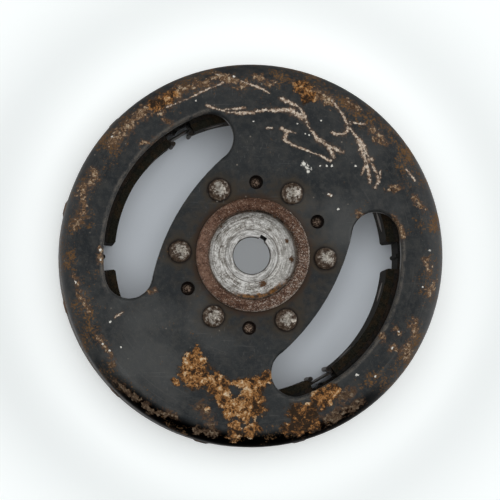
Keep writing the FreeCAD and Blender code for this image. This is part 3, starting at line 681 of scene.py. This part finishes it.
        bare = self.either(crust, smear, specks, scratch)
        roughness = self.blend(bare, self.blend(self.middle, 0.36, 0.52), 0.88)
        relief = self.bump(0.05, 0.35, self.middle)
        relief = self.bump(0.03, 0.25, self.fine, relief)
        flaking = self.noise(1.7, 4, 0.66, shift=7)
        relief = self.bump(0.22, self.scaled(bare, 0.9), flaking, relief)
        # The painted dark reflection is also metallic, except where bare.
        metallic = self.both(dark_reflection, self.math("SUBTRACT", 1.0, bare))
        return self.finish(colour, roughness, metallic, relief)


class HubSteel(Shader):
    """Turned steel: bright in the recess, rusted on the collar, grey-brown behind the face."""

    def __init__(self):
        super().__init__("hub_steel")
        self.middle = self.noise(0.55, 5, 0.65, warp=0.5, shift=2)
        self.fine = self.noise(2.4, 5, 0.65, shift=14)
        self.grain = self.noise(7.0, 3, 0.6, shift=23)
        wavy = self.scaled(self.middle, 0.4, self.radius)
        self.rings = self.noise(1.5, 4, 0.75, place=self.round_the_axis(1.6, 1.6, wavy))
        self.blotch = self.noise(0.9, 4, 0.7, shift=91)

    def turned_steel(self):
        """Bright steel with turning marks, with painted light on the right, and paler in streaks below.
        """
        patches = self.scaled(self.middle, 0.30, self.both(self.rings, 0.45))
        steel = self.ramp(
            self.scaled(self.fine, 0.25, patches),
            (0.405, (0.09, 0.075, 0.056)),
            (0.455, (0.29, 0.262, 0.225)),
            (0.51, (0.59, 0.56, 0.52)),
            (0.565, (0.99, 0.965, 0.92)),
        )
        # Painted light: the steel is paler towards the right.
        steel = self.mix(self.step(self.across, 3.0, 9.0, 0.0, 0.22), steel, RIGHT_SIDE_LIGHT)
        spokes = self.noise(1.0, 4, 0.7, place=self.round_the_axis(4.5), shift=47)
        spokes = self.step(self.scaled(self.fine, 0.45, spokes), 0.72, 0.90, 0.0, 0.75)
        return self.mix(self.both(spokes, self.step(self.along, 1.0, -7.0)), steel, SPOKE_WHITE)

    def stain(self):
        """Where brown stains lie on the steel, denser near the thread."""
        return self.both(self.step(self.middle, 0.56, 0.72), self.beyond(8.5, 10.5, 0.3, 0.8))

    def pool(self):
        """Where wet-looking rust has gathered, along the bottom of the recess."""
        low = self.scaled(self.across, -0.25, self.scaled(self.middle, 4.0, self.along))
        low = self.step(low, -6.5, -9.5)
        rim = self.step(self.scaled(self.middle, 3.2, self.radius), THREAD_MM - 0.6, THREAD_MM + 0.1)
        return self.both(low, rim, self.above(SEAT_MM + 2.9, SEAT_MM + 1.3))

    def recess(self, stain, pool):
        """The recess: steel with stains, deposits, the nut's washer mark, a thin dark ring round the
        seat, and rust with painted shade at its edge.
        """
        steel = self.mix(stain, self.turned_steel(), STEEL_STAIN)
        deposits = self.math("ADD", self.spots(self.flat, DEPOSITS), self.scaled(self.fine, 3.0, -1.6))
        deposits = self.step(deposits, 0.0, 0.35)
        deposits = self.both(deposits, self.above(SEAT_MM + 0.8, SEAT_MM + 0.3))
        brown = self.mix(self.fine, (0.045, 0.02, 0.010), (0.20, 0.10, 0.045))
        steel = self.mix(deposits, steel, brown)
        washer = self.both(self.beyond(8.1, 7.6), self.beyond(5.0, 5.6))
        worn = self.mix(self.step(self.rings, 0.38, 0.60), WASHER_DARK, WASHER_PALE)
        steel = self.mix(self.both(washer, 0.55), steel, worn)
        # A thin dark ring round the nut seat, on the floor.
        seat_ring = self.both(self.beyond(7.7, 7.9), self.beyond(8.25, 8.0))
        steel = self.mix(self.both(seat_ring, 0.6), steel, SEAT_RING_DARK)
        wet = self.mix(self.step(self.blotch, 0.40, 0.62), POOL_DARK, POOL_ORANGE)
        steel = self.mix(self.both(pool, 0.95), steel, wet)
        # Brown rust and painted shade where the floor meets the thread's wall.
        edge = self.math("ADD", self.radius, self.middle)
        edge = self.step(edge, THREAD_MM - 0.3, THREAD_MM + 0.3)
        return self.mix(self.both(edge, 0.8), steel, EDGE_DIRT_AND_SHADE)

    def bare_collar(self):
        """Specks where the collar's rust has rubbed off, most of them on the right."""
        toward = self.scaled(self.along, -0.55, self.across)
        speckle = self.noise(2.1, 4, 0.8, shift=23)
        polish = self.scaled(self.step(toward, -6.0, 16.0), 0.07, speckle)
        lower_lip = self.step(self.along, -12.0, 2.0, 0.07, 0.0)
        lower_lip = self.both(self.beyond(16.3, 16.9), lower_lip)
        right_lip = self.step(self.across, 4.0, 12.0, 0.0, 0.05)
        right_lip = self.both(self.beyond(16.3, 16.8), right_lip)
        lip = self.either(lower_lip, right_lip)
        return self.step(self.math("ADD", polish, lip), 0.60, 0.68)

    def collar(self, bare):
        """Red-brown rust, faded on the left."""
        rust = self.ramp(
            self.scaled(self.fine, 0.6, self.both(self.middle, 0.4)),
            (0.38, (0.018, 0.009, 0.006)),
            (0.46, (0.060, 0.026, 0.015)),
            (0.54, (0.115, 0.060, 0.038)),
            (0.64, (0.30, 0.21, 0.155)),
        )
        faded = self.step(self.blotch, 0.38, 0.62, 0.05, 0.75)
        faded = self.both(self.step(self.across, -9.0, -15.0), faded)
        rust = self.mix(faded, rust, COLLAR_FADED)
        return self.mix(bare, rust, COLLAR_BARE)

    def behind_the_face(self, colour, under):
        """Grey-brown patina on the flange and the boss, and in the tool holes painted shade round brown
        pits.
        """
        patina = self.ramp(self.fine, (0.35, (0.05, 0.043, 0.036)), (0.65, (0.17, 0.155, 0.14)))
        outside_bore = self.beyond(7.6, 8.2, 0.4, 1.0)
        colour = self.mix(self.both(under, outside_bore), colour, patina)
        drilled = self.above(SEAT_MM - 0.1, SEAT_MM + 0.2)
        drilled = self.both(self.beyond(17.2, 17.6), drilled)
        pit = self.scaled(self.fine, 0.7, self.spots(self.flat, tool_holes()))
        speckled = self.mix(self.step(self.fine, 0.42, 0.62), PIT_BROWN, PIT_PALE)
        # Painted shade in the tool holes, darkest towards their edges, round a rusty brown centre.
        hole_shade_and_rust = self.mix(self.step(pit, 0.60, 1.10), TOOL_HOLE_SHADE, speckled)
        return self.mix(drilled, colour, hole_shade_and_rust)

    def keyway(self):
        """The inside of the keyway, painted black as shade."""
        ring = self.both(
            self.beyond(BORE_MM + 0.45, BORE_MM + 0.55),
            self.beyond(KEYWAY_MM + 0.5, KEYWAY_MM + 0.3),
        )
        return self.both(ring, self.above(SEAT_MM - 0.08, SEAT_MM - 0.15))

    def build(self):
        """The whole material, from the recess outwards."""
        stain = self.stain()
        pool = self.pool()
        bare = self.bare_collar()
        on_collar = self.above(COLLAR_MM - 1.4, COLLAR_MM - 0.8)
        colour = self.mix(on_collar, self.recess(stain, pool), self.collar(bare))
        under = self.above(SEAT_MM - 0.3, SEAT_MM - 0.7)
        colour = self.behind_the_face(colour, under)
        # Painted shade at the bore's edge and on its wall.
        bore_edge_shade = self.beyond(BORE_MM + 0.28, BORE_MM + 0.18, 0.0, 0.85)
        colour = self.mix(bore_edge_shade, colour, BORE_EDGE_SHADE)
        keyway = self.keyway()
        # Painted shade: the keyway is black, matt and not metallic.
        colour = self.mix(keyway, colour, KEYWAY_SHADE)

        rusty = self.both(on_collar, self.math("SUBTRACT", 1.0, bare))
        rusty = self.either(rusty, pool, self.both(stain, 0.8))
        metallic = self.blend(under, self.blend(rusty, 0.45, 0.05), 0.55)
        metallic = self.blend(keyway, metallic, 0.0)
        roughness = self.blend(rusty, self.blend(self.fine, 0.34, 0.52), 0.78)
        roughness = self.blend(keyway, roughness, 1.0)
        relief = self.bump(0.04, 0.5, self.rings)
        relief = self.bump(0.05, 0.5, self.fine, relief)
        relief = self.bump(0.06, 0.6, self.both(rusty, self.grain), relief)
        return self.finish(colour, roughness, metallic, relief)


def thread_steel():
    """The puller thread: worn crests with brown roots."""
    s = Shader("thread_steel")
    fine = s.noise(2.4, 5, 0.65, shift=14)
    middle = s.noise(0.5, 4, 0.6, shift=51)
    colour = s.ramp(
        fine,
        (0.35, (0.035, 0.022, 0.015)),
        (0.52, (0.11, 0.082, 0.062)),
        (0.68, (0.30, 0.26, 0.22)),
    )
    crest = s.beyond(THREAD_MM - 0.40, THREAD_MM - 0.52, 0.0, 0.5)
    colour = s.mix(crest, colour, (0.36, 0.32, 0.28))
    rusty = s.step(middle, 0.48, 0.62)
    colour = s.mix(s.both(rusty, 0.8), colour, (0.10, 0.05, 0.028))
    roughness = s.blend(rusty, 0.42, 0.75)
    return s.finish(colour, roughness, s.blend(rusty, 0.8, 0.1), s.bump(0.04, 0.5, fine))


def rivet_steel():
    """Hammered rivet heads: a pale crown of bare metal with a painted highlight, brown round it, and
    painted shade where they meet the face.
    """
    s = Shader("rivet_steel")
    coarse = s.noise(0.8, 4, 0.6, shift=4)
    fine = s.noise(1.5, 5, 0.68, warp=0.8, shift=33)
    pits = s.cells(1.25)
    # The pale crown, hammered bare metal with a painted highlight, sits a little to the right of each
    # rivet's middle.
    blows = [(x + 0.35, y + 0.10, radius) for x, y, radius in rivet_circles(3.2)]
    level = s.scaled(coarse, 1.9, s.scaled(fine, 1.5, s.spots(s.flat, blows)))
    crown = s.above(CROWN_MM - 1.6, CROWN_MM - 0.9)
    struck_and_highlit = s.both(s.step(level, 1.92, 2.46), crown)
    dark = s.ramp(
        s.scaled(fine, 0.5, s.both(coarse, 0.5)),
        (0.38, (0.030, 0.018, 0.012)),
        (0.50, (0.100, 0.066, 0.045)),
        (0.60, (0.27, 0.215, 0.165)),
    )
    bright = s.ramp(
        s.scaled(pits, 0.16, s.scaled(coarse, 0.35, s.both(fine, 0.55))),
        (0.36, (0.12, 0.092, 0.068)),
        (0.48, (0.40, 0.345, 0.28)),
        (0.60, (0.86, 0.80, 0.71)),
    )
    colour = s.mix(struck_and_highlit, dark, bright)
    # Painted shade where each head meets the face.
    foot_shadow = s.above(FACE_MM + 1.1, FACE_MM + 0.2, 0.0, 0.9)
    colour = s.mix(foot_shadow, colour, RIVET_SHADOW)
    roughness = s.blend(struck_and_highlit, 0.58, 0.40)
    metallic = s.blend(struck_and_highlit, 0.35, 0.80)
    relief = s.bump(0.12, 0.7, pits)
    relief = s.bump(0.08, 0.6, fine, relief)
    return s.finish(colour, roughness, metallic, relief)


def old_steel(name, dark, pale, shift, rust_share=0.3, metallic=0.5, rough=(0.45, 0.7), gloss=0.5):
    """Dull steel with patina and scattered rust."""
    s = Shader(name)
    s.bsdf.inputs["Specular IOR Level"].default_value = gloss
    middle = s.noise(0.4, 5, 0.62, shift=shift)
    fine = s.noise(2.2, 4, 0.6, shift=shift + 9)
    colour = s.ramp(fine, (0.32, dark), (0.68, pale))
    rusty = s.step(s.scaled(fine, 0.35, middle), 0.62, 0.80, 0.0, rust_share)
    colour = s.mix(rusty, colour, s.mix(fine, BROWN_RUST, ORANGE_RUST))
    relief = s.bump(0.05, 0.5, fine)
    return s.finish(colour, s.blend(middle, *rough), s.blend(rusty, metallic, 0.0), relief)


# --- geometry helpers ---


def paint(node, material):
    """Gives a CAD node one material."""
    slots = frame["nodes"][node].data.materials
    slots.clear()
    slots.append(material)


def shade_by_angle(obj, degrees=35):
    """Smooth shading with sharp edges kept."""
    mesh = obj.data
    limit = math.radians(degrees)
    for polygon in mesh.polygons:
        polygon.use_smooth = True
    edit = bmesh.new()
    edit.from_mesh(mesh)
    for edge in edit.edges:
        edge.smooth = len(edge.link_faces) == 2 and edge.calc_face_angle(0) < limit
    edit.to_mesh(mesh)
    edit.free()


def new_piece(name, edit, material):
    """A Blender piece from a bmesh, riding on the wheel."""
    mesh = bpy.data.meshes.new(name)
    bmesh.ops.recalc_face_normals(edit, faces=edit.faces)
    edit.to_mesh(mesh)
    edit.free()
    piece = bpy.data.objects.new(name, mesh)
    bpy.context.scene.collection.objects.link(piece)
    mesh.materials.append(material)
    shade_by_angle(piece)
    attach(piece, BODY)
    return piece


def loose_parts(node):
    """The low and high corners of each separate solid of a CAD node, in order round the axis."""
    edit = bmesh.new()
    edit.from_mesh(frame["nodes"][node].data)
    bmesh.ops.remove_doubles(edit, verts=edit.verts, dist=1e-6)
    left = set(edit.verts)
    parts = []
    while left:
        group = [left.pop()]
        for vert in group:
            for edge in vert.link_edges:
                other = edge.other_vert(vert)
                if other in left:
                    left.discard(other)
                    group.append(other)
        low = Vector([min(v.co[axis] for v in group) for axis in range(3)])
        high = Vector([max(v.co[axis] for v in group) for axis in range(3)])
        parts.append((low, high))
    edit.free()
    return sorted(parts, key=lambda box: math.atan2(box[0].y + box[1].y, box[0].x + box[1].x))


# --- pieces ---


def puller_thread(material):
    """The fine internal thread of the puller recess, as one helical ridge with tapered ends."""
    turns = THREAD_LENGTH / THREAD_PITCH - THREAD_SHORT
    count = int(turns * THREAD_STEPS)
    start = THREAD_MIDDLE - turns * THREAD_PITCH / 2
    edit = bmesh.new()
    rows = []
    for step in range(count + 1):
        angle = 2 * math.pi * step / THREAD_STEPS
        fade = min(1.0, step / THREAD_TAPER, (count - step) / THREAD_TAPER)
        level = start + THREAD_PITCH * step / THREAD_STEPS
        row = [
            edit.verts.new((radius * math.cos(angle), radius * math.sin(angle), level + rise))
            for radius, rise in thread_profile(angle, fade)
        ]
        rows.append(row)
    for before, after in zip(rows, rows[1:]):
        for index in range(len(before)):
            following = (index + 1) % len(before)
            edit.faces.new((before[index], before[following], after[following], after[index]))
    edit.faces.new(reversed(rows[0]))
    edit.faces.new(rows[-1])
    return new_piece("puller_thread", edit, material)


def thread_profile(angle, fade):
    """The ridge's section, as radius and rise. It is slightly uneven round the axis."""
    wall = THREAD_RADIUS + THREAD_SUNK
    inner = THREAD_RADIUS - THREAD_DEPTH * fade * (1 + 0.05 * math.sin(5 * angle))
    return (
        (wall, -THREAD_ROOT / 2),
        (inner, -THREAD_CREST / 2),
        (inner, THREAD_CREST / 2),
        (wall, THREAD_ROOT / 2),
    )


def hammered_rivets(material):
    """The six hub rivets, with heads flattened and dented by the hammer, and formed tails."""
    edit = bmesh.new()
    for number, (low, high) in enumerate(loose_parts("hub_rivets")):
        seed = Vector((11.3 * number, 4.7, 2.9))
        lathe_rivet(edit, low, high, seed)
    piece = new_piece("hammered_rivets", edit, material)
    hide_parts("hub_rivets")
    return piece


def lathe_rivet(edit, low, high, seed):
    """One rivet turned about its own axis, with a dented head."""
    centre = (low + high) / 2
    head = (high.x - low.x) / 2
    rise = high.z - FACE
    rings = [rivet_ring(edit, centre, reach, level) for reach, level in rivet_stem(low.z, head)]
    for reach, level in rivet_head(head, rise):
        ring = rivet_ring(edit, centre, reach, level)
        if len(ring) == 1:
            ring[0].co.z -= CROWN_DENT
        else:
            for vert in ring:
                vert.co += dent(vert.co, seed, (level - FACE) / rise)
        rings.append(ring)
    for lower, upper in zip(rings, rings[1:]):
        join_rings(edit, lower, upper)


def rivet_stem(bottom, head):
    """The outline of a rivet below its head, from the axis of the formed tail up to the face."""
    tail = head * 0.97
    outline = [(0, bottom), (tail * 0.45, bottom)]
    for step in range(1, 7):
        turn = math.pi / 2 * step / 6
        reach = tail * (0.62 + 0.38 * math.sin(turn))
        outline.append((reach, bottom + TAIL_ROUND * (1 - math.cos(turn))))
    under = bottom + TAIL_HEIGHT
    return outline + [(tail, under), (SHANK_RADIUS, under), (SHANK_RADIUS, FACE), (head * 0.985, FACE)]


def rivet_head(head, rise):
    """The outline of a rivet's domed head, from its edge up to its crown."""
    outline = []
    for step in range(HEAD_STEPS + 1):
        turn = math.pi / 2 * step / HEAD_STEPS
        level = FACE + HEAD_EDGE + (rise - HEAD_EDGE) * math.sin(turn) ** 0.9
        outline.append((head * math.cos(turn) ** 0.82, level))
    return outline


def rivet_ring(edit, centre, reach, level):
    """The points at one height of a rivet: a circle, or a single point on its axis."""
    if reach < ON_AXIS:
        return [edit.verts.new((centre.x, centre.y, level))]
    ring = []
    for part in range(RIVET_SIDES):
        turn = 2 * math.pi * part / RIVET_SIDES
        x, y = centre.x + reach * math.cos(turn), centre.y + reach * math.sin(turn)
        ring.append(edit.verts.new((x, y, level)))
    return ring


def dent(spot, seed, share):
    """How the hammer has moved a point of a rivet's head: flat blows on top, a slight lean below."""
    place = spot / MM
    blow = noise.noise(place * 0.55 + seed)
    pock = noise.noise(place * 1.5 + seed)
    down = -(0.16 + 0.20 * blow + 0.07 * pock) * share**3
    side = 0.10 * noise.noise(place * 0.4 - seed) * share
    return Vector((side, 0.6 * side, min(down, 0.0))) * MM


def join_rings(edit, lower, upper):
    """Faces between two rings of points, either of which may be a single point."""
    count = max(len(lower), len(upper))
    for index in range(count):
        following = (index + 1) % count
        if len(lower) == 1:
            edit.faces.new((lower[0], upper[index], upper[following]))
        elif len(upper) == 1:
            edit.faces.new((lower[index], lower[following], upper[0]))
        else:
            edit.faces.new((lower[index], lower[following], upper[following], upper[index]))


# --- stage, light and camera ---


def stage():
    """A plain pale table, which glows a little round the wheel."""
    edit = bmesh.new()
    bmesh.ops.create_grid(edit, x_segments=1, y_segments=1, size=3.0)
    mesh = bpy.data.meshes.new("table")
    edit.to_mesh(mesh)
    edit.free()
    table = bpy.data.objects.new("table", mesh)
    bpy.context.scene.collection.objects.link(table)
    mesh.materials.append(table_white())
    table.visible_glossy = False


def table_white():
    """Off-white, with painted shade making it slightly blue under the wheel."""
    s = Shader("table_white")
    soft = s.noise(0.01, 2, 0.5)
    pale = s.mix(soft, (0.78, 0.80, 0.79), (0.82, 0.84, 0.83))
    # Painted shade: bluer under the wheel.
    colour = s.mix(s.beyond(44.0, 56.0), (0.78, 0.81, 0.85), pale)
    s.bsdf.inputs["Emission Color"].default_value = (0.98, 1.0, 0.99, 1)
    clear = s.beyond(48.0, 61.0)
    glow = s.both(s.beyond(63.0, 85.0, NEAR_GLOW, FAR_GLOW), clear)
    glow = s.math("ADD", glow, s.beyond(74.0, 108.0, 0.0, CORNER_GLOW))
    glow = s.math("ADD", glow, s.beyond(10.0, 7.0, 0.0, BORE_GLOW))
    s.put(s.bsdf.inputs["Emission Strength"], glow)
    return s.finish(colour, 0.7, 0.0)


def light(name, place, size, power, colour=(1, 1, 1), mirrored=True):
    """A soft square light that faces the origin. Gloss may leave it out."""
    lamp = bpy.data.lights.new(name, "AREA")
    lamp.shape = "SQUARE"
    lamp.size = size
    lamp.energy = power
    lamp.color = colour
    holder = bpy.data.objects.new(name, lamp)
    bpy.context.scene.collection.objects.link(holder)
    holder.visible_glossy = mirrored
    holder.location = place
    holder.rotation_euler = (-Vector(place)).to_track_quat("-Z", "Y").to_euler()


def lights():
    """Two lamps in a bright room."""
    light("overhead", (-0.08, 0.06, 1.60), 1.2, OVERHEAD_POWER, (0.95, 0.98, 1.0), False)
    light("key", (0.95, 0.30, 1.05), 0.9, KEY_POWER)
    room()
    bpy.context.scene.view_settings.view_transform = "Standard"


def room():
    """A bright room, dim overhead, dark towards -Y and dim towards +Y."""
    world = bpy.data.worlds.new("studio")
    world.use_nodes = True
    tree = world.node_tree
    background = tree.nodes["Background"]
    background.inputs["Strength"].default_value = ROOM_STRENGTH
    where = tree.nodes.new("ShaderNodeTexCoord").outputs["Generated"]
    product = facing(tree, where, (0, 0, 1), (0.62, 0.95), CEILING_SHARE)
    walls = (
        ((-0.2, -0.98, 0), (0.10, 0.65), FRONT_SHARE),
        ((0, 1, 0), (0.15, 0.75), BACK_SHARE),
        ((1, 0, 0), (0.15, 0.75), RIGHT_SHARE),
        ((-1, 0, 0), (0.15, 0.75), LEFT_SHARE),
    )
    for axis, edges, share in walls:
        both = tree.nodes.new("ShaderNodeMath")
        both.operation = "MULTIPLY"
        tree.links.new(product, both.inputs[0])
        tree.links.new(facing(tree, where, axis, edges, share), both.inputs[1])
        product = both.outputs[0]
    tree.links.new(product, background.inputs["Color"])
    bpy.context.scene.world = world


def facing(tree, where, axis, edges, share):
    """A brightness of 1, which turns to a share as a direction comes to point along an axis."""
    dot = tree.nodes.new("ShaderNodeVectorMath")
    dot.operation = "DOT_PRODUCT"
    dot.inputs[1].default_value = axis
    tree.links.new(where, dot.inputs[0])
    change = tree.nodes.new("ShaderNodeMapRange")
    change.interpolation_type = "SMOOTHSTEP"
    names = ("From Min", "From Max", "To Min", "To Max")
    for name, number in zip(names, (*edges, 1.0, share)):
        change.inputs[name].default_value = number
    tree.links.new(dot.outputs["Value"], change.inputs["Value"])
    return change.outputs[0]


def camera():
    """Almost straight above the wheel, with a long lens, a little to the lower left."""
    collar = Vector((0, 0, COLLAR_TOP))
    eye = collar + Vector(EYE)
    aim = collar + Vector(AIM)
    data = bpy.data.cameras.new("camera")
    data.sensor_width = SENSOR
    data.lens = LENS
    data.clip_end = 10.0
    holder = bpy.data.objects.new("camera", data)
    bpy.context.scene.collection.objects.link(holder)
    back = (eye - aim).normalized()
    up = Matrix.Rotation(math.radians(ROLL_DEGREES), 3, "Z") @ Vector((0, 1, 0))
    right = up.cross(back).normalized()
    up = back.cross(right)
    turn = Matrix((right, up, back)).transposed()
    holder.matrix_world = Matrix.Translation(eye) @ turn.to_4x4()
    bpy.context.scene.camera = holder


# --- the scene ---

camera()
lights()
stage()

paint("rotor_shell", ShellPaint().build())
paint("hub", HubSteel().build())
cam_steel = old_steel(
    "cam_steel", (0.20, 0.19, 0.18), (0.42, 0.41, 0.39), 71, metallic=0.9, rough=(0.3, 0.45)
)
paint("breaker_cam", cam_steel)

# The parts inside the rim are near-black, and they hardly shine.
inner = {"metallic": 0.1, "rough": (0.75, 0.95), "gloss": 0.15}
pole_steel = old_steel("pole_steel", (0.003, 0.003, 0.002), (0.020, 0.019, 0.014), 17, 0.06, **inner)
magnet_metal = old_steel(
    "magnet", (0.005, 0.005, 0.0045), (0.020, 0.019, 0.017), 37, 0.06, 0.1, (0.70, 0.90), 0.25
)
spacer_alloy = old_steel(
    "spacer_alloy", (0.004, 0.004, 0.0035), (0.022, 0.022, 0.020), 57, 0.05, **inner
)
clip_steel = old_steel(
    "clip_steel", (0.006, 0.006, 0.005), (0.028, 0.027, 0.025), 77, rust_share=0.1, metallic=0.3
)
pin_steel = old_steel(
    "pole_rivet_steel", (0.045, 0.035, 0.028), (0.15, 0.12, 0.10), 87, rust_share=0.8, metallic=0.3
)
for number in range(1, 7):
    paint(f"magnet_{number}", magnet_metal)
    paint(f"pole_shoe_{number}", pole_steel)
    paint(f"spacer_{number}", spacer_alloy)
for number in range(1, 5):
    paint(f"pole_clip_{number}", clip_steel)
paint("pole_rivets", pin_steel)
puller_thread(thread_steel())
hammered_rivets(rivet_steel())
